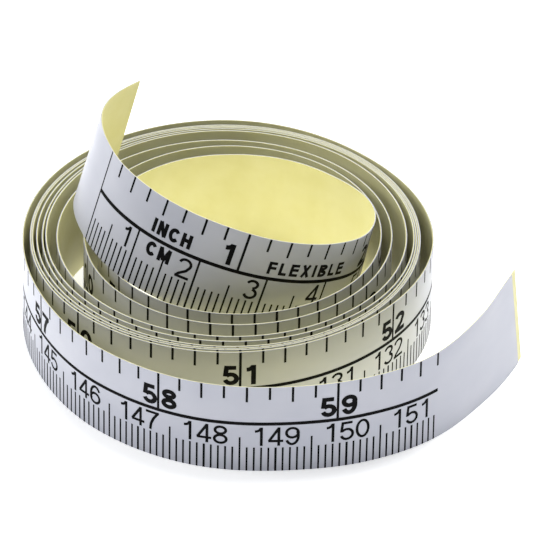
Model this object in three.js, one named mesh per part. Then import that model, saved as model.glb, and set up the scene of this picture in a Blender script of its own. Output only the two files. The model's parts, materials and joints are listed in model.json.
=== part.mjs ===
// A 60 inch self-adhesive measuring tape, lying loosely coiled on its lower edge.
// Millimetres, +Z up. The origin is under the middle of the coiled tape's box.
// The tape is a laminate: a printed white film outside and a yellow release liner inside,
// with a coat of glue between them. Both free ends can bend, so they are divided into short
// links, each hinged to the one before it on a line straight across the tape.

import * as THREE from "three";

const TAPE_WIDTH = 14.3; // 9/16 inch
const FILM_THICKNESS = 0.1;
const GLUE_THICKNESS = 0.02; // left open between the film and the liner
const LINER_THICKNESS = 0.08;

// Places along the tape are measured from the zero line of its printed scale.
const TAPE_START = -21.2; // bare leader before the zero line
const TAPE_END = 1538.3; // 59 5/8 inches of scale and a bare end
const LINER_OVERHANG = 1.5; // the liner shows beyond the film at the outer end
const OUTER_LINKS = 8;
const OUTER_LINK_LENGTH = 12.5;
const ZERO_END_HINGES = [26, 8, -10];
const LINK_GAP = 0.2; // open slit across the tape at each hinge

const COIL_STEP = 7.5; // degrees turned by one facet of the coil
const LINK_STEP = 3; // longest facet of a link
const PATH_STEP = 0.5; // degrees between the samples that measure the tape's length

// The zero end climbs out of the coil, leaning over its top edges.
// Each row: angle about the coil's axis, radius and height of the lower edge, lean along X and Y.
const ZERO_END = [
  [-223, 22.95, 15.1, 0.271, 0.169],
  [-195, 22.8, 16.3, 0.287, 0.161],
  [-170, 20.45, 15.6, 0.284, 0.161],
  [-141, 18.75, 14.55, 0.316, 0.187],
  [-110, 17.25, 12.55, 0.305, 0.164],
  [-78, 16.2, 9.55, 0.306, 0.123],
  [-46, 16.45, 6.5, 0.301, 0.13],
  [-15, 17.3, 3.5, 0.265, 0.152],
  [15, 18.8, 1.8, 0.165, 0.158],
  [45, 18.8, 1.6, 0.045, 0.07],
];

// Radius of the inner turns where each passes the right, the back, the left and the front,
// from the inside out. The first turn begins at the back.
const TURNS = [
  [null, 20.85, 18.45, 19.6],
  [22, 23.2, 20.5, 22.2],
  [23.55, 24.7, 24.35, 25.1],
  [25.65, 27.25, 25.95, 26.25],
  [26.75, 27.75, 26.45, 27.5],
  [27.05, 28.15, 27.25, 27.95],
  [27.35, 28.45, 27.9, 28.3],
];

// The last turn and the outer end, which leaves the coil and leans a little at its tip.
// Each row: turn, angle within it, radius, and lean along X and Y where there is any.
const OUTER_TURNS = [
  [7, 0, 27.6],
  [7, 90, 28.75],
  [7, 180, 28.15],
  [7, 225, 28.6],
  [7, 270, 28.9],
  [7, 315, 28.55],
  [8, 0, 29.5],
  [8, 45, 29.05],
  [8, 90, 30.1],
  [8, 180, 29.25],
  [8, 210, 30.3],
  [8, 240, 33.45],
  [8, 265, 36.35],
  [8, 285, 38.05],
  [8, 300, 39.8, 0, 0.014],
  [8, 315, 41.15, -0.007, 0.023],
  [8, 330, 41.65, -0.022, 0.119],
  [8, 342, 42.65, -0.095, 0.135],
  [8, 353, 43.85, -0.1, 0.114],
];

function stations() {
  const rows = [...ZERO_END];
  TURNS.forEach((radii, turn) =>
    radii.forEach((radius, quarter) => {
      if (radius !== null) rows.push([turn * 360 + quarter * 90, radius, 0, 0, 0]);
    }),
  );
  OUTER_TURNS.forEach(([turn, angle, radius, leanX = 0, leanY = 0]) =>
    rows.push([turn * 360 + angle, radius, 0, leanX, leanY]),
  );
  return rows;
}

const STATIONS = stations();

// Smooth cubic through the stations, column by column.
function stationAt(angle) {
  const last = STATIONS.length - 2;
  let i = 0;
  while (i < last && STATIONS[i + 1][0] < angle) i += 1;
  const before = STATIONS[Math.max(i - 1, 0)];
  const from = STATIONS[i];
  const to = STATIONS[i + 1];
  const after = STATIONS[Math.min(i + 2, last + 1)];
  const span = to[0] - from[0];
  const t = (angle - from[0]) / span;
  return from.map((value, k) => {
    const slopeFrom = ((to[k] - before[k]) / (to[0] - before[0])) * span;
    const slopeTo = ((after[k] - value) / (after[0] - from[0])) * span;
    const rise = to[k] - value;
    const bend = 3 * rise - 2 * slopeFrom - slopeTo;
    const twist = slopeFrom + slopeTo - 2 * rise;
    return value + t * (slopeFrom + t * (bend + t * twist));
  });
}

// Lower edge of the tape, and the unit vector from it straight across the tape.
function edgeAt(angle) {
  const [, radius, height, leanX, leanY] = stationAt(angle);
  const turned = THREE.MathUtils.degToRad(angle);
  const foot = new THREE.Vector3(
    radius * Math.cos(turned),
    radius * Math.sin(turned),
    Math.max(height, 0),
  );
  return { foot, across: new THREE.Vector3(leanX, leanY, 1).normalize() };
}

function middleAt(angle) {
  const { foot, across } = edgeAt(angle);
  return foot.addScaledVector(across, TAPE_WIDTH / 2);
}

// Length of the tape's middle line from its start, sampled along the whole coil.
function measurePath() {
  const samples = [];
  let angle = STATIONS[0][0];
  let previous = middleAt(angle);
  let length = TAPE_START;
  while (length < TAPE_END + LINK_STEP) {
    samples.push([length, angle]);
    angle += PATH_STEP;
    const next = middleAt(angle);
    length += next.distanceTo(previous);
    previous = next;
  }
  return samples;
}

const PATH = measurePath();

function angleAt(length) {
  let i = 1;
  while (i < PATH.length - 1 && PATH[i][0] < length) i += 1;
  const [lengthFrom, angleFrom] = PATH[i - 1];
  const [lengthTo, angleTo] = PATH[i];
  return THREE.MathUtils.mapLinear(length, lengthFrom, lengthTo, angleFrom, angleTo);
}

// Cross frame of the tape: foot on the lower edge, across the width, and out of the printed face.
function frameAt(angle) {
  const { foot, across } = edgeAt(angle);
  const along = middleAt(angle + PATH_STEP / 2).sub(middleAt(angle - PATH_STEP / 2));
  const outward = along.cross(across).normalize();
  return { foot, across, outward };
}

// Closed ribbon of one layer through the given angles, between two offsets from the glue line.
function ribbon(angles, inner, outer) {
  const positions = [];
  for (const angle of angles) {
    const { foot, across, outward } = frameAt(angle);
    const corners = [
      [inner, 0],
      [outer, 0],
      [outer, TAPE_WIDTH],
      [inner, TAPE_WIDTH],
    ];
    for (const [offset, height] of corners) {
      const corner = foot.clone().addScaledVector(outward, offset).addScaledVector(across, height);
      positions.push(corner.x, corner.y, corner.z);
    }
  }
  const indices = [0, 1, 2, 0, 2, 3];
  for (let i = 0; i < angles.length - 1; i += 1) {
    for (let side = 0; side < 4; side += 1) {
      const a = i * 4 + side;
      const b = i * 4 + ((side + 1) % 4);
      // Both broad faces are split along the same diagonal, so that twisted layers stay parallel.
      if (side === 3) indices.push(a, a + 4, b, a + 4, b + 4, b);
      else indices.push(a, a + 4, b + 4, a, b + 4, b);
    }
  }
  const end = (angles.length - 1) * 4;
  indices.push(end, end + 2, end + 1, end, end + 3, end + 2);
  const geometry = new THREE.BufferGeometry();
  geometry.setAttribute("position", new THREE.Float32BufferAttribute(positions, 3));
  geometry.setIndex(indices);
  geometry.computeVertexNormals();
  return geometry;
}

function coilAngles(from, to) {
  const first = angleAt(from);
  const last = angleAt(to);
  const angles = [first];
  let angle = (Math.floor(first / COIL_STEP) + 1) * COIL_STEP;
  if (angle - first < COIL_STEP / 4) angle += COIL_STEP;
  for (; angle < last - COIL_STEP / 4; angle += COIL_STEP) angles.push(angle);
  angles.push(last);
  return angles;
}

function linkAngles(from, to) {
  const facets = Math.ceil((to - from) / LINK_STEP);
  const angles = [];
  for (let i = 0; i <= facets; i += 1) angles.push(angleAt(from + ((to - from) * i) / facets));
  return angles;
}

const filmMaterial = new THREE.MeshStandardMaterial({ color: 0xe9e9f2, roughness: 0.4 });
const linerMaterial = new THREE.MeshStandardMaterial({ color: 0xe8e2a4, roughness: 0.7 });

// The two layers of one stretch of tape, placed relative to its hinge.
function addLayers(holder, name, filmAngles, linerAngles, hinge) {
  const film = ribbon(filmAngles, GLUE_THICKNESS / 2, GLUE_THICKNESS / 2 + FILM_THICKNESS);
  const liner = ribbon(linerAngles, -GLUE_THICKNESS / 2 - LINER_THICKNESS, -GLUE_THICKNESS / 2);
  const layers = [
    ["film", film, filmMaterial],
    ["liner", liner, linerMaterial],
  ];
  for (const [layer, geometry, material] of layers) {
    geometry.translate(-hinge.x, -hinge.y, -hinge.z);
    const mesh = new THREE.Mesh(geometry, material);
    mesh.name = `${name}_${layer}`;
    holder.add(mesh);
  }
}

// A link hangs on its hinge, a line across the tape at the middle of the slit.
function addLink(parent, parentHinge, name, from, to, hingeAt) {
  const { foot, across } = frameAt(angleAt(hingeAt));
  const link = new THREE.Group();
  link.name = name;
  link.position.copy(foot).sub(parentHinge);
  link.userData.hinge = { point: foot, axis: across };
  const isTip = to === TAPE_END;
  const filmAngles = linkAngles(from, isTip ? to - LINER_OVERHANG : to);
  const linerAngles = isTip ? [...filmAngles, angleAt(to)] : filmAngles;
  addLayers(link, name, filmAngles, linerAngles, foot);
  parent.add(link);
  return [link, foot];
}

const group = new THREE.Group();
const coil = new THREE.Group();
group.add(coil);

const outerStart = TAPE_END - OUTER_LINKS * OUTER_LINK_LENGTH;
const coilStart = ZERO_END_HINGES[0] + LINK_GAP / 2;
const coilFacets = coilAngles(coilStart, outerStart - LINK_GAP / 2);
addLayers(coil, "coil", coilFacets, coilFacets, new THREE.Vector3());

let parent = coil;
let hinge = new THREE.Vector3();
for (let i = 0; i < OUTER_LINKS; i += 1) {
  const hingeAt = outerStart + i * OUTER_LINK_LENGTH;
  const to = i === OUTER_LINKS - 1 ? TAPE_END : hingeAt + OUTER_LINK_LENGTH - LINK_GAP / 2;
  [parent, hinge] = addLink(parent, hinge, `outer_end_${i + 1}`, hingeAt + LINK_GAP / 2, to, hingeAt);
}

parent = coil;
hinge = new THREE.Vector3();
ZERO_END_HINGES.forEach((hingeAt, i) => {
  const isTip = i === ZERO_END_HINGES.length - 1;
  const from = isTip ? TAPE_START : ZERO_END_HINGES[i + 1] + LINK_GAP / 2;
  [parent, hinge] = addLink(parent, hinge, `zero_end_${i + 1}`, from, hingeAt - LINK_GAP / 2, hingeAt);
});

// Stand the part's box on the origin.
const box = new THREE.Box3().setFromObject(group);
const middle = box.getCenter(new THREE.Vector3());
coil.position.set(-middle.x, -middle.y, -box.min.z);

export default group;
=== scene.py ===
"""The looks of a self-adhesive measuring tape, loosely coiled on its lower edge.

The tape is one long strip. Every point of it is named by where it lies on the flat tape: the place along
it, from the zero line of its printed scale, and the height above its lower edge. A third number is the
distance out of the printed face. Sizes are in millimetres until the strip turns them into metres.
"""

import json
import math

import bpy
import numpy as np
from mathutils import Matrix, Vector


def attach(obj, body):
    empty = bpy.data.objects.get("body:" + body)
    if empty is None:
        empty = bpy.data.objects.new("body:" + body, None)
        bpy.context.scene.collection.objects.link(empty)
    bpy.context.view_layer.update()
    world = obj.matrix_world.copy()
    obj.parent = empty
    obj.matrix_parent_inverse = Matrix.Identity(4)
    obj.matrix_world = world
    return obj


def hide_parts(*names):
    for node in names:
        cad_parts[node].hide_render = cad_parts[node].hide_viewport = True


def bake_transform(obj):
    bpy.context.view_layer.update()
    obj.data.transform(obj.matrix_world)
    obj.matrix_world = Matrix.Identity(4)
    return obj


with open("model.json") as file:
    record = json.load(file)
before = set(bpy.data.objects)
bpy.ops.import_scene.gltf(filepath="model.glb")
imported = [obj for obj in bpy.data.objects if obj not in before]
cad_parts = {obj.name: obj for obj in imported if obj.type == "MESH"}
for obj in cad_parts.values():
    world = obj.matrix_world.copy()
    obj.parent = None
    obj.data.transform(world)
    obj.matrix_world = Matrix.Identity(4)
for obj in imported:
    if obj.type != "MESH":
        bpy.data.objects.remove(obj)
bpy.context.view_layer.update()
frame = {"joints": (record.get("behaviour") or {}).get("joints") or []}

MM = 0.001

# The tape's own sizes
TAPE_WIDTH = 14.3
FILM_THICKNESS = 0.1
GLUE_THICKNESS = 0.02
LINER_THICKNESS = 0.08
LAYER_CHAMFER = 0.018
TAPE_START = -21.2
TAPE_END = 1538.3
LINER_OVERHANG = 1.5  # the liner shows beyond the film at the outer end

# The hinges of the two ends, by their places along the tape
OUTER_LINKS = 8
OUTER_LINK_LENGTH = 12.5
OUTER_START = TAPE_END - OUTER_LINKS * OUTER_LINK_LENGTH
OUTER_HINGES = [OUTER_START + k * OUTER_LINK_LENGTH for k in range(OUTER_LINKS)]
ZERO_END_HINGES = (26.0, 8.0, -10.0)
OUTER_STIFF = 1.25  # length at each end of a stretch that doesn't bend
ZERO_END_STIFF = 1.5

# Fineness of the meshes
PATH_STEP = 0.5  # degrees between the samples that measure the tape's length
PLACE_STEP = 0.1  # between the places where the strip's frame is worked out
FACET = 0.8  # longest facet of the film and the liner
INK_FACET = 0.4

# How the tape lies: the same stations as the CAD model's.
# The zero end's rows: angle about the coil's axis, radius and height of the lower edge, lean along X and Y
ZERO_END = (
    (-223, 22.95, 15.1, 0.271, 0.169),
    (-195, 22.8, 16.3, 0.287, 0.161),
    (-170, 20.45, 15.6, 0.284, 0.161),
    (-141, 18.75, 14.55, 0.316, 0.187),
    (-110, 17.25, 12.55, 0.305, 0.164),
    (-78, 16.2, 9.55, 0.306, 0.123),
    (-46, 16.45, 6.5, 0.301, 0.13),
    (-15, 17.3, 3.5, 0.265, 0.152),
    (15, 18.8, 1.8, 0.165, 0.158),
    (45, 18.8, 1.6, 0.045, 0.07),
)
# Radius of the inner turns where each passes the right, the back, the left and the front
TURNS = (
    (None, 20.85, 18.45, 19.6),
    (22, 23.2, 20.5, 22.2),
    (23.55, 24.7, 24.35, 25.1),
    (25.65, 27.25, 25.95, 26.25),
    (26.75, 27.75, 26.45, 27.5),
    (27.05, 28.15, 27.25, 27.95),
    (27.35, 28.45, 27.9, 28.3),
)
# The last turn and the outer end: turn, angle within it, radius, and lean along X and Y where there is any
OUTER_TURNS = (
    (7, 0, 27.6),
    (7, 90, 28.75),
    (7, 180, 28.15),
    (7, 225, 28.6),
    (7, 270, 28.9),
    (7, 315, 28.55),
    (8, 0, 29.5),
    (8, 45, 29.05),
    (8, 90, 30.1),
    (8, 180, 29.25),
    (8, 210, 30.3),
    (8, 240, 33.45),
    (8, 265, 36.35),
    (8, 285, 38.05),
    (8, 300, 39.8, 0, 0.014),
    (8, 315, 41.15, -0.007, 0.023),
    (8, 330, 41.65, -0.022, 0.119),
    (8, 342, 42.65, -0.095, 0.135),
    (8, 353, 43.85, -0.1, 0.114),
)

# The printed scale: inches above the rule, centimetres below it
INCH = 25.4
METRE = 1000
LAST_EIGHTH = 477
LAST_MILLIMETRE = 1514
RULE_HEIGHT = 8.1
RULE_WIDTH = 0.54
RULE_TOP = RULE_HEIGHT + RULE_WIDTH / 2
RULE_FOOT = RULE_HEIGHT - RULE_WIDTH / 2
RULE_PAST_LAST = 0.13  # the rule runs on by this much beyond the last eighth
INK_THICKNESS = 0.012
LINE_OVERLAP = 0.05  # lines run this far into the rule
EDGE_MARGIN = 0.02  # and stop this short of the tape's edges
ZERO_LINE_PEN = 0.25

# Ticks: how far each reaches from its edge of the tape, and its pen
EIGHTH_REACH = 2.07
QUARTER_REACH = 2.52
EIGHTH_PEN = 0.33
INCH_LINE_PEN = 0.36
MILLIMETRE_REACH = 4.05
FIVE_MILLIMETRE_REACH = 5.75
MILLIMETRE_PEN = 0.26
CENTIMETRE_PEN = 0.3
CENTIMETRE_PEN_PAST_METRE = 0.32

# Numbers: their lettering, their height above the edge, and their distances to the line they name
INCH_SIZE = 3.3
INCH_PEN = 0.68
INCH_WIDTH = 2.3
INCH_FOOT = RULE_TOP + 0.35
INCH_ALONE = 0.7
INCH_BEFORE = 0.17
INCH_AFTER = 0.5
CM_SIZE = 3.15
CM_PEN = 0.4
CM_WIDTH = 2.08
CM_FOOT = 4.35
CM_ALONE = 0.75
CM_BESIDE = 0.35
CM_PITCH = CM_WIDTH + 0.22  # from one digit to the next, over its line

# Words: their place, height, size, pen and the gap between letters
LABEL_FOOT = RULE_TOP + 0.5
LABELS = (
    ("INCH", 11.7, LABEL_FOOT, 2.15, 0.56, 0.3),
    ("CM", 11.9, RULE_FOOT - 2.45, 2.15, 0.56, 0.32),
    ("FLEXIBLE", 29.5, LABEL_FOOT, 2.0, 0.44, 0.5),
)
LABEL_HOME = 2  # a word moves with what lies this far after its start
LETTER_WIDTHS = {"I": 0.3, "M": 0.9, "E": 0.66, "F": 0.62, "L": 0.6, "C": 0.8}
LETTER_WIDTH = 0.72  # of the other letters, as a share of their size


# ---------------------------------------------------------------- the strip's path

def stations():
    rows = [list(row) for row in ZERO_END]
    for turn, radii in enumerate(TURNS):
        for quarter, radius in enumerate(radii):
            if radius is not None:
                rows.append([turn * 360 + quarter * 90, radius, 0, 0, 0])
    for turn, angle, radius, *lean in OUTER_TURNS:
        rows.append([turn * 360 + angle, radius, 0, *(lean or (0, 0))])
    return np.array(rows, float)


STATIONS = stations()


def station_at(angles):
    """Smooth cubic through the stations, column by column."""
    rows = STATIONS
    last = len(rows) - 1
    i = np.clip(np.searchsorted(rows[:, 0], angles) - 1, 0, last - 1)
    before, start, end, after = (rows[np.clip(i + k, 0, last)] for k in (-1, 0, 1, 2))
    span = (end[:, 0] - start[:, 0])[:, None]
    t = (np.asarray(angles)[:, None] - start[:, :1]) / span
    slope_start = (end - before) / (end[:, :1] - before[:, :1]) * span
    slope_end = (after - start) / (after[:, :1] - start[:, :1]) * span
    rise = end - start
    bend = 3 * rise - 2 * slope_start - slope_end
    twist = slope_start + slope_end - 2 * rise
    return start + t * (slope_start + t * (bend + t * twist))


def unit(vectors):
    return vectors / np.linalg.norm(vectors, axis=1)[:, None]


def edge_at(angles):
    """Lower edge of the tape, and the unit vector from it straight across the tape."""
    row = station_at(angles)
    turned = np.radians(angles)
    foot = np.stack([row[:, 1] * np.cos(turned), row[:, 1] * np.sin(turned), np.maximum(row[:, 2], 0)], 1)
    return foot, unit(np.stack([row[:, 3], row[:, 4], np.ones(len(row))], 1))


def middle_at(angles):
    foot, across = edge_at(angles)
    return foot + across * TAPE_WIDTH / 2


def measure_path():
    """Length of the tape's middle line at each half degree of the coil."""
    angles = np.arange(STATIONS[0, 0], STATIONS[-1, 0] + PATH_STEP, PATH_STEP)
    steps = np.linalg.norm(np.diff(middle_at(angles), axis=0), axis=1)
    return TAPE_START + np.concatenate([[0], np.cumsum(steps)]), angles


PATH_LENGTHS, PATH_ANGLES = measure_path()


class Strip:
    """Turns places on the flat tape into points in the part's frame, in metres."""

    def __init__(self):
        self.places = np.arange(TAPE_START, TAPE_END + 1, PLACE_STEP)
        angles = np.interp(self.places, PATH_LENGTHS, PATH_ANGLES)
        self.foot, self.across = edge_at(angles)
        along = middle_at(angles + PATH_STEP / 2) - middle_at(angles - PATH_STEP / 2)
        self.outward = unit(np.cross(along, self.across))
        # The frame's first outer hinge says where the coil's axis stands.
        self.shift = np.zeros(3)
        hinge = next(j for j in frame["joints"] if j["name"] == "outer_end_bend_1")
        self.shift = np.array(hinge["pos_m"]) - self.point([OUTER_START], [0.0], [0.0])[0]

    def column(self, table, place):
        return np.stack([np.interp(place, self.places, table[:, k]) for k in range(3)], 1)

    def point(self, place, height, out):
        height, out = np.asarray(height, float)[:, None], np.asarray(out, float)[:, None]
        flat = self.column(self.foot, place) + self.column(self.across, place) * height
        return (flat + self.column(self.outward, place) * out) * MM + self.shift


strip = Strip()


# ---------------------------------------------------------------- the stretches that move together

class Stretch:
    """A length of the tape that rides on one body, or lies across one hinge between two; such a stretch
    stays fixed where it is built and rides on no body.

    reach is not used. It is given as how far a bend would spread on each side of the hinge, and it is
    negative where the far body lies towards the tape's start.
    """

    def __init__(self, name, start, end, bodies, hinge=None, reach=0.0):
        self.name, self.start, self.end = name, start, end
        self.bodies, self.hinge, self.reach = bodies, hinge, reach

    def attach(self, piece):
        if self.hinge is None:
            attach(piece, self.bodies[0])
            return
        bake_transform(piece)


def stretches():
    """The coil, and one stretch around each hinge, reaching halfway to its neighbours."""
    half = OUTER_LINK_LENGTH / 2
    zero_half = (ZERO_END_HINGES[0] - ZERO_END_HINGES[1]) / 2
    made = [Stretch("coil", ZERO_END_HINGES[0] + zero_half, OUTER_START - half, ["coil"])]
    near = "coil"
    for k, hinge in enumerate(OUTER_HINGES):
        far = f"outer_end_{k + 1}"
        end = TAPE_END if hinge == OUTER_HINGES[-1] else hinge + half
        made.append(Stretch(far, hinge - half, end, [near, far], hinge, half - OUTER_STIFF))
        near = far
    near = "coil"
    for k, hinge in enumerate(ZERO_END_HINGES):
        far = f"zero_end_{k + 1}"
        start = TAPE_START if hinge == ZERO_END_HINGES[-1] else hinge - zero_half
        reach = ZERO_END_STIFF - zero_half
        made.append(Stretch(far, start, hinge + zero_half, [near, far], hinge, reach))
        near = far
    return made


STRETCHES = stretches()


# ---------------------------------------------------------------- meshes

def new_piece(name, vertices, faces, flat, material):
    """A smooth-shaded mesh object. flat holds each vertex's place and height, for its textures."""
    mesh = bpy.data.meshes.new(name)
    mesh.from_pydata(vertices, [], faces)
    mesh.polygons.foreach_set("use_smooth", np.ones(len(mesh.polygons), bool))
    mesh.set_sharp_from_angle(angle=math.radians(30))
    corners = np.empty(len(mesh.loops), np.int32)
    mesh.loops.foreach_get("vertex_index", corners)
    layer = mesh.uv_layers.new(name="tape")
    layer.data.foreach_set("uv", (flat[corners] / 10).ravel())
    mesh.materials.append(material)
    mesh.update()
    piece = bpy.data.objects.new(name, mesh)
    bpy.context.scene.collection.objects.link(piece)
    return piece


def ribbon(start, end, section):
    """Closed ribbon with the given cross-section, a loop of (out, height) corners."""
    count = math.ceil((end - start) / FACET) + 1
    places = np.linspace(start, end, count)
    loop = np.array(section, float)
    m = len(loop)
    place = np.repeat(places, m)
    out = np.tile(loop[:, 0], count)
    height = np.tile(loop[:, 1], count)
    faces = []
    for i in range(count - 1):
        for k in range(m):
            a, b = i * m + k, i * m + (k + 1) % m
            faces.append((a, a + m, b + m, b))
    faces.append(tuple(range(m)))
    faces.append(tuple(reversed(range((count - 1) * m, count * m))))
    return strip.point(place, height, out), faces, np.stack([place, height], 1)


def layer_section(inner, outer):
    """Thin rectangle with its corners taken off, standing on the lower edge."""
    top = TAPE_WIDTH
    cut = LAYER_CHAMFER
    return [
        (inner, cut),
        (inner + cut, 0),
        (outer - cut, 0),
        (outer, cut),
        (outer, top - cut),
        (outer - cut, top),
        (inner + cut, top),
        (inner, top - cut),
    ]


def build_layer(stretch, layer, inner, outer, material):
    end = stretch.end
    if layer == "film" and end == TAPE_END:
        end -= LINER_OVERHANG
    vertices, faces, flat = ribbon(stretch.start, end, layer_section(inner, outer))
    piece = new_piece(f"{stretch.name}_{layer}_skin", vertices, faces, flat, material)
    stretch.attach(piece)
    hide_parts(f"{stretch.name}_{layer}")


# ---------------------------------------------------------------- lettering, drawn with strokes

def arc(cx, cy, rx, ry, start, end, count=9):
    turns = np.radians(np.linspace(start, end, count))
    return [(cx + rx * math.cos(a), cy + ry * math.sin(a)) for a in turns]


def digit_strokes(digit, width, pen):
    """Centre lines of a digit one unit high, with the pen's width taken off all round."""
    h = pen / 2
    left, right, mid, top = h, width - h, width / 2, 1 - h
    rx = mid - h
    if digit == "0":
        return [arc(mid, 0.5, rx, 0.5 - h, 90, 450, 25)]
    if digit == "1":
        stem = width * 0.74 - h
        flag = arc(stem - 0.27, 1.02, 0.25, 0.24, -80, -12, 6)
        return [[(stem, 0), (stem, 1)], [(stem - 0.27 - h * 0.3, 0.78)] + flag]
    if digit == "2":
        bowl = arc(mid, 0.71, rx, 0.29 - h, 170, -30, 12)
        return [bowl + [(mid + rx * 0.45, 0.42), (left + 0.09, 0.2), (left, h)], [(0, h), (width, h)]]
    if digit == "3":
        upper = arc(mid - 0.01, 0.745, rx * 0.92, 0.255 - h, 165, -80, 12)
        lower = arc(mid, 0.285, rx, 0.285 - h, 80, -165, 13)
        return [upper, lower]
    if digit == "4":
        stem = width * 0.7
        return [[(stem, 0), (stem, 1)], [(stem, 1 - h * 0.6), (h * 0.5, 0.26)], [(0, 0.26), (width, 0.26)]]
    if digit == "5":
        bowl = arc(mid, 0.33, rx, 0.33 - h, 140, -165, 14)
        return [[(left + 0.04, top), (right - 0.02, top)], [(left + 0.075, 1), (left + 0.015, 0.45)], bowl]
    if digit == "6":
        back = arc(mid + 0.01, 0.5, rx + 0.01, 0.5 - h, 30, 215, 14)
        return [back, arc(mid, 0.32, rx, 0.32 - h, 90, 450, 21)]
    if digit == "7":
        sweep = [(right, top), (mid + 0.06, 0.62), (mid - 0.06, 0.33), (mid - 0.1, 0)]
        return [[(0, top), (width, top)], sweep]
    if digit == "8":
        upper = arc(mid, 0.75, rx * 0.9, 0.25 - h, 90, 450, 19)
        return [upper, arc(mid, 0.275, rx, 0.275 - h, 90, 450, 21)]
    turned = digit_strokes("6", width, pen)
    return [[(width - x, 1 - y) for x, y in line] for line in turned]


def letter_strokes(letter, width, pen):
    h = pen / 2
    left, right, mid, top = h, width - h, width / 2, 1 - h
    stem = [(left, 0), (left, 1)]
    bars = {"E": (h, 0.53, top), "F": (0.5, top), "L": (h,)}
    if letter == "I":
        return [[(mid, 0), (mid, 1)]]
    if letter in bars:
        return [stem] + [[(left, y), (width, y)] for y in bars[letter]]
    if letter == "H":
        return [stem, [(right, 0), (right, 1)], [(left, 0.53), (right, 0.53)]]
    if letter == "N":
        return [stem, [(right, 0), (right, 1)], [(left, 1), (right, 0)]]
    if letter == "M":
        return [stem, [(right, 0), (right, 1)], [(left, 1), (mid, h)], [(mid, h), (right, 1)]]
    if letter == "X":
        return [[(left, 0), (right, 1)], [(left, 1), (right, 0)]]
    if letter == "C":
        return [arc(mid, 0.5, mid - h, 0.5 - h, 38, 322, 19)]
    upper = arc(mid, 0.76, right - mid, 0.24 - h, 90, -90, 9)
    lower = arc(mid, 0.265, right - mid, 0.265 - h, 90, -90, 9)
    return [stem, [(left, top)] + upper + [(left, 0.52 + h)], [(left, 0.53)] + lower + [(left, h)]]


class Ink:
    """Printing on the flat tape, gathered as strokes with a left and a right edge."""

    SHARPEST = 0.55  # cosine that limits how far a corner's mitre sticks out

    def __init__(self):
        self.strokes = []

    def add(self, line, pen, home):
        """One stroke along a line of (place, height) points. It moves with the stretch that holds home."""
        points = [np.array(line[0], float)]
        for a, b in zip(line, line[1:]):
            a, b = np.array(a, float), np.array(b, float)
            pieces = max(1, math.ceil(abs(b[0] - a[0]) / INK_FACET))
            points += [a + (b - a) * (k + 1) / pieces for k in range(pieces)]
        points = np.array(points)
        steps = np.diff(points, axis=0)
        steps /= np.linalg.norm(steps, axis=1)[:, None]
        before = np.vstack([steps[:1], steps])
        after = np.vstack([steps, steps[-1:]])
        if np.allclose(points[0], points[-1]):
            before[0], after[-1] = steps[-1], steps[0]
        along = unit(before + after)
        side = np.stack([-along[:, 1], along[:, 0]], 1)
        mitre = np.maximum((along * after).sum(1), self.SHARPEST)
        side *= (pen / 2 / mitre)[:, None]
        self.strokes.append((home, points + side, points - side))

    def glyph(self, lines, place, height, size, pen, home):
        """A digit or letter, drawn one unit high, with its lower left corner at a place and a height."""
        for line in lines:
            self.add([(place + x * size, height + y * size) for x, y in line], pen, home)

    def build(self, stretch, material):
        """The strokes that move with a stretch, as thin slabs on its printed face."""
        inside = [s for s in self.strokes if stretch.start <= s[0] < stretch.end]
        if not inside:
            return
        face = GLUE_THICKNESS / 2 + FILM_THICKNESS
        flat, out, faces, n = [], [], [], 0
        for _, left, right in inside:
            m = len(left)
            flat += [left, right, left, right]
            out.append(np.repeat([face + INK_THICKNESS, face - INK_THICKNESS / 2], 2 * m))
            for i in range(m - 1):
                a, b, c, d = (n + k * m + i for k in range(4))
                faces += [(a, b, b + 1, a + 1), (c, c + 1, d + 1, d)]
                faces += [(a, a + 1, c + 1, c), (b, d, d + 1, b + 1)]
            a, b, c, d = (n + k * m for k in range(4))
            faces.append((a, c, d, b))
            a, b, c, d = (n + k * m + m - 1 for k in range(4))
            faces.append((a, b, d, c))
            n += 4 * m
        flat, out = np.concatenate(flat), np.concatenate(out)
        vertices = strip.point(flat[:, 0], flat[:, 1], out)
        piece = new_piece(f"{stretch.name}_printing", vertices, faces, flat, material)
        stretch.attach(piece)


# ---------------------------------------------------------------- the print

def print_ticks(ink):
    """Eighths along the top edge, millimetres along the lower one, and the zero line."""
    top = TAPE_WIDTH - EDGE_MARGIN
    for eighth in range(1, LAST_EIGHTH + 1):
        place = eighth * INCH / 8
        if eighth % 8 == 0:
            foot, pen = RULE_TOP - LINE_OVERLAP, INCH_LINE_PEN
        elif eighth % 2 == 0:
            foot, pen = TAPE_WIDTH - QUARTER_REACH, EIGHTH_PEN
        else:
            foot, pen = TAPE_WIDTH - EIGHTH_REACH, EIGHTH_PEN
        ink.add([(place, foot), (place, top)], pen, place)
    for place in range(1, LAST_MILLIMETRE + 1):
        if place % 10 == 0 and place < METRE:
            reach, pen = RULE_FOOT + LINE_OVERLAP, CENTIMETRE_PEN
        elif place % 10 == 0:
            reach, pen = MILLIMETRE_REACH, CENTIMETRE_PEN_PAST_METRE
        elif place % 5 == 0:
            reach, pen = FIVE_MILLIMETRE_REACH, MILLIMETRE_PEN
        else:
            reach, pen = MILLIMETRE_REACH, MILLIMETRE_PEN
        ink.add([(place, EDGE_MARGIN), (place, reach)], pen, place)
    ink.add([(0, EDGE_MARGIN), (0, top)], ZERO_LINE_PEN, 0)


def print_rule(ink):
    """The line between the two scales, cut where the stretches meet."""
    last = LAST_EIGHTH * INCH / 8 + RULE_PAST_LAST
    for stretch in STRETCHES:
        start, end = max(stretch.start, 0.0), min(stretch.end, last)
        if end > start:
            ink.add([(start, RULE_HEIGHT), (end, RULE_HEIGHT)], RULE_WIDTH, (start + end) / 2)


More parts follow.
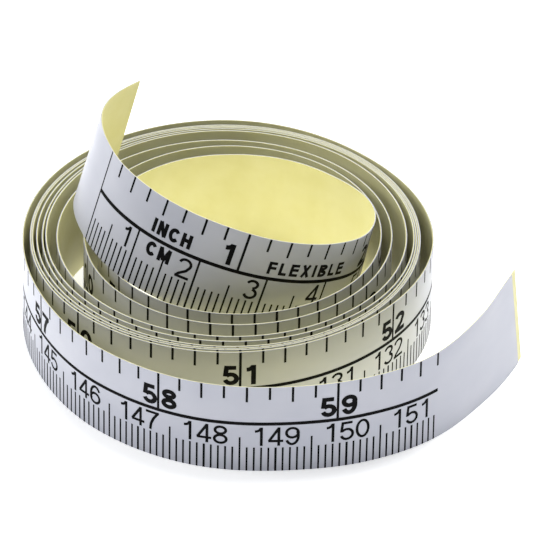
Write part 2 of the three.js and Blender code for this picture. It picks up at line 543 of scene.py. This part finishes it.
def print_inches(ink):
    """A single digit stands before its line. The digits of a longer number stand on both sides of it."""
    for inch in range(1, LAST_EIGHTH // 8 + 1):
        place = inch * INCH
        if inch < 10:
            starts = [place - INCH_ALONE - INCH_WIDTH]
        else:
            starts = [place - INCH_BEFORE - INCH_WIDTH, place + INCH_AFTER]
        for digit, start in zip(str(inch), starts):
            lines = digit_strokes(digit, INCH_WIDTH / INCH_SIZE, INCH_PEN / INCH_SIZE)
            ink.glyph(lines, start, INCH_FOOT, INCH_SIZE, INCH_PEN, place)


def print_centimetres(ink):
    """From one metre on, the number stands over its line. Before that it is set like the inches."""
    for place in range(10, LAST_MILLIMETRE + 1, 10):
        if place < 100:
            starts = [place - CM_ALONE - CM_WIDTH]
        elif place < METRE:
            starts = [place - CM_BESIDE - CM_WIDTH, place + CM_BESIDE]
        else:
            starts = [place - CM_WIDTH / 2 + k * CM_PITCH for k in (-1, 0, 1)]
        for digit, start in zip(str(place // 10), starts):
            lines = digit_strokes(digit, CM_WIDTH / CM_SIZE, CM_PEN / CM_SIZE)
            ink.glyph(lines, start, CM_FOOT, CM_SIZE, CM_PEN, place)


def print_words(ink):
    for word, start, foot, size, pen, gap in LABELS:
        place = start
        for letter in word:
            width = LETTER_WIDTHS.get(letter, LETTER_WIDTH)
            lines = letter_strokes(letter, width, pen / size)
            ink.glyph(lines, place, foot, size, pen, start + LABEL_HOME)
            place += width * size + gap


# ---------------------------------------------------------------- materials

def new_material(name):
    material = bpy.data.materials.new(name)
    material.use_nodes = True
    nodes = material.node_tree.nodes
    return material, nodes, material.node_tree.links, nodes["Principled BSDF"]


def tape_noise(nodes, links, scale, detail, stretch=(1, 1, 1)):
    """Noise laid on the flat tape, whose unit is one centimetre."""
    coordinates = nodes.new("ShaderNodeTexCoord")
    mapping = nodes.new("ShaderNodeMapping")
    mapping.inputs["Scale"].default_value = stretch
    noise = nodes.new("ShaderNodeTexNoise")
    noise.inputs["Scale"].default_value = scale
    noise.inputs["Detail"].default_value = detail
    links.new(coordinates.outputs["UV"], mapping.inputs["Vector"])
    links.new(mapping.outputs["Vector"], noise.inputs["Vector"])
    return noise


def ramp(nodes, links, noise, low, high):
    """Colour that goes from low to high over the middle of a noise's range."""
    made = nodes.new("ShaderNodeValToRGB")
    made.color_ramp.elements[0].position = 0.3
    made.color_ramp.elements[0].color = (*low, 1)
    made.color_ramp.elements[1].position = 0.7
    made.color_ramp.elements[1].color = (*high, 1)
    links.new(noise.outputs["Fac"], made.inputs["Fac"])
    return made.outputs["Color"]


def grey(level):
    return (level, level, level)


def bump(nodes, links, noise, distance):
    made = nodes.new("ShaderNodeBump")
    made.inputs["Distance"].default_value = distance
    made.inputs["Strength"].default_value = 1.0
    links.new(noise.outputs["Fac"], made.inputs["Height"])
    return made


def film_material():
    """White polyester film: satin, faintly lavender, with soft smears and slight waves."""
    material, nodes, links, shader = new_material("film_white")
    blotches = tape_noise(nodes, links, 0.8, 3, (1, 1.6, 1))
    colour = ramp(nodes, links, blotches, (0.47, 0.483, 0.555), (0.53, 0.538, 0.6))
    links.new(colour, shader.inputs["Base Color"])
    smears = tape_noise(nodes, links, 2.2, 1, (0.5, 1.4, 1))
    links.new(ramp(nodes, links, smears, grey(0.29), grey(0.36)), shader.inputs["Roughness"])
    waves = bump(nodes, links, tape_noise(nodes, links, 0.9, 1, (1, 0.25, 1)), 0.0001)
    links.new(waves.outputs["Normal"], shader.inputs["Normal"])
    return material


def liner_material():
    """Pale yellow release paper: matte, with a fibre grain and slight mottling."""
    material, nodes, links, shader = new_material("liner_yellow")
    mottle = tape_noise(nodes, links, 2.2, 4)
    colour = ramp(nodes, links, mottle, (0.77, 0.725, 0.345), (0.82, 0.78, 0.43))
    links.new(colour, shader.inputs["Base Color"])
    fibres = tape_noise(nodes, links, 38, 5, (0.45, 1, 1))
    links.new(ramp(nodes, links, fibres, grey(0.5), grey(0.66)), shader.inputs["Roughness"])
    waves = bump(nodes, links, tape_noise(nodes, links, 0.9, 1, (1, 0.25, 1)), 0.0002)
    grain = bump(nodes, links, fibres, 0.000006)
    links.new(waves.outputs["Normal"], grain.inputs["Normal"])
    links.new(grain.outputs["Normal"], shader.inputs["Normal"])
    return material


def ink_material():
    """Black printing ink, a little uneven in density and sheen."""
    material, nodes, links, shader = new_material("ink_black")
    density = tape_noise(nodes, links, 9, 4)
    links.new(ramp(nodes, links, density, grey(0.002), (0.006, 0.006, 0.007)), shader.inputs["Base Color"])
    links.new(ramp(nodes, links, density, grey(0.5), grey(0.68)), shader.inputs["Roughness"])
    shader.inputs["Specular IOR Level"].default_value = 0.05
    return material


# ---------------------------------------------------------------- the tape

def build_tape():
    film, liner, black = film_material(), liner_material(), ink_material()
    ink = Ink()
    print_ticks(ink)
    print_rule(ink)
    print_inches(ink)
    print_centimetres(ink)
    print_words(ink)
    glue = GLUE_THICKNESS / 2
    for stretch in STRETCHES:
        build_layer(stretch, "film", glue, glue + FILM_THICKNESS, film)
        build_layer(stretch, "liner", -glue - LINER_THICKNESS, -glue, liner)
        ink.build(stretch, black)


# ---------------------------------------------------------------- camera, floor and light

CAMERA_ELEVATION = math.radians(34.62)
CAMERA_ROLL = math.radians(1.12)
CAMERA_DISTANCE = 0.811
LENS = 373.6
# What the camera looks at: a point on the floor, from the coil's axis
AIM = (5.7, 12.95)


def build_camera():
    data = bpy.data.cameras.new("photo_camera")
    data.lens = LENS
    data.sensor_width = 36
    data.clip_start, data.clip_end = 0.05, 20
    camera = bpy.data.objects.new("photo_camera", data)
    bpy.context.scene.collection.objects.link(camera)
    sine, cosine = math.sin(CAMERA_ELEVATION), math.cos(CAMERA_ELEVATION)
    back, up, right = Vector((0, -cosine, sine)), Vector((0, sine, cosine)), Vector((1, 0, 0))
    tilted_right = right * math.cos(CAMERA_ROLL) + up * math.sin(CAMERA_ROLL)
    tilted_up = up * math.cos(CAMERA_ROLL) - right * math.sin(CAMERA_ROLL)
    aim = Vector((strip.shift[0] + AIM[0] * MM, strip.shift[1] + AIM[1] * MM, 0))
    turn = Matrix((tilted_right, tilted_up, back)).transposed().to_4x4()
    camera.matrix_world = Matrix.Translation(aim + back * CAMERA_DISTANCE) @ turn
    bpy.context.scene.camera = camera


def build_floor():
    mesh = bpy.data.meshes.new("floor")
    half = 3.0
    corners = [(-half, -half, 0), (half, -half, 0), (half, half, 0), (-half, half, 0)]
    mesh.from_pydata(corners, [], [(0, 1, 2, 3)])
    floor = bpy.data.objects.new("floor", mesh)
    bpy.context.scene.collection.objects.link(floor)
    material, _, _, shader = new_material("floor_white")
    shader.inputs["Base Color"].default_value = (0.93, 0.93, 0.925, 1)
    shader.inputs["Roughness"].default_value = 0.9
    shader.inputs["Emission Color"].default_value = (1, 1, 1, 1)
    shader.inputs["Emission Strength"].default_value = 0.5
    mesh.materials.append(material)


def area_light(name, place, target, size, power):
    data = bpy.data.lights.new(name, "AREA")
    data.shape = "DISK"
    data.size = size
    data.energy = power
    light = bpy.data.objects.new(name, data)
    bpy.context.scene.collection.objects.link(light)
    light.location = place
    light.rotation_euler = (Vector(target) - Vector(place)).to_track_quat("-Z", "Y").to_euler()


def build_light():
    """A bright studio, darker at the front, with a large softbox over the back and one at the left."""
    world = bpy.data.worlds.new("studio")
    world.use_nodes = True
    nodes, links = world.node_tree.nodes, world.node_tree.links
    coordinates = nodes.new("ShaderNodeTexCoord")
    parts = nodes.new("ShaderNodeSeparateXYZ")
    links.new(coordinates.outputs["Generated"], parts.inputs["Vector"])
    level = nodes.new("ShaderNodeMapRange")
    for socket, value in (("From Min", -0.9), ("From Max", 0.6), ("To Min", 0.06), ("To Max", 0.75)):
        level.inputs[socket].default_value = value
    links.new(parts.outputs["Y"], level.inputs["Value"])
    links.new(level.outputs["Result"], nodes["Background"].inputs["Strength"])
    nodes["Background"].inputs["Color"].default_value = (0.93, 0.96, 1.0, 1)
    bpy.context.scene.world = world
    area_light("softbox_back", (0.1, 0.3, 0.8), (0, 0, 0), 0.5, 8.0)
    area_light("softbox_left", (-0.8, 0.0, 0.5), (0, 0, 0.01), 0.5, 2.4)
    bpy.context.scene.view_settings.view_transform = "Standard"
    bpy.context.scene.view_settings.look = "None"


build_camera()
build_floor()
build_light()
build_tape()
